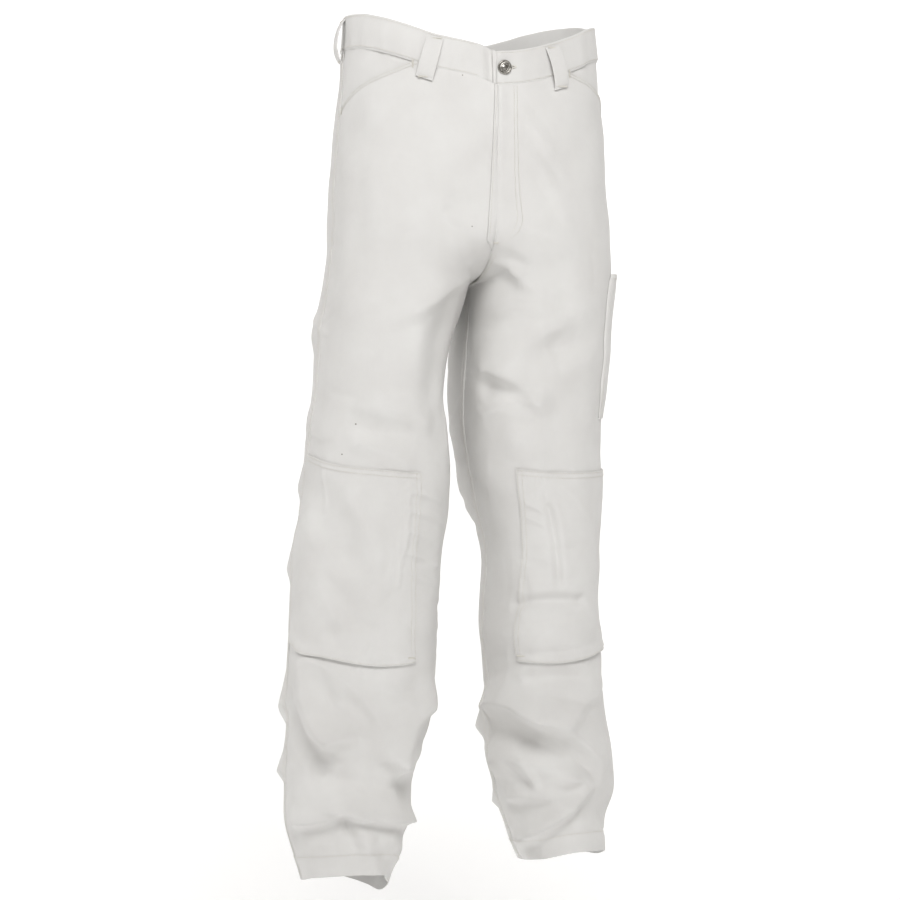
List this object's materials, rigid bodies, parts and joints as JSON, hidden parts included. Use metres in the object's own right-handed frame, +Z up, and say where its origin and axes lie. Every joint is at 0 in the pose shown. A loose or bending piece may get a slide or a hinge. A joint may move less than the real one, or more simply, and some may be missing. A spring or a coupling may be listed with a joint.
{
  "type": "beekeeping trousers",
  "caption": "Loose cotton work trousers, filled out as worn, with knee pockets, slanted hip pockets and a thigh tool pocket.",
  "frame": {"origin": "middle of the waistband, where the wearer holds the trousers up", "axes": "+Z up from hem to waist; -Y is the way the wearer faces; +X is the wearer's left"},
  "size_m": [0.4145, 0.2606, 1.0486],
  "materials": {
    "white_cotton": "matt drill weave",
    "dark_nickel": "worn metal"
  },
  "bodies": {
    "root": {"front_right": "white_cotton", "front_left": "white_cotton", "back_right": "white_cotton", "back_left": "white_cotton", "pocket_facing_right": "white_cotton", "pocket_facing_left": "white_cotton", "knee_pocket_right": "white_cotton", "knee_pocket_left": "white_cotton", "tool_pocket_left": "white_cotton", "waistband_right": "white_cotton", "waistband_left": "white_cotton", "fly_zip": "white_cotton", "fly_shield": "white_cotton", "belt_loop_front_right": "white_cotton", "belt_loop_front_left": "white_cotton", "belt_loop_side_right": "white_cotton", "belt_loop_side_left": "white_cotton", "belt_loop_back": "white_cotton", "waist_button": "dark_nickel"}
  },
  "joints": []
}
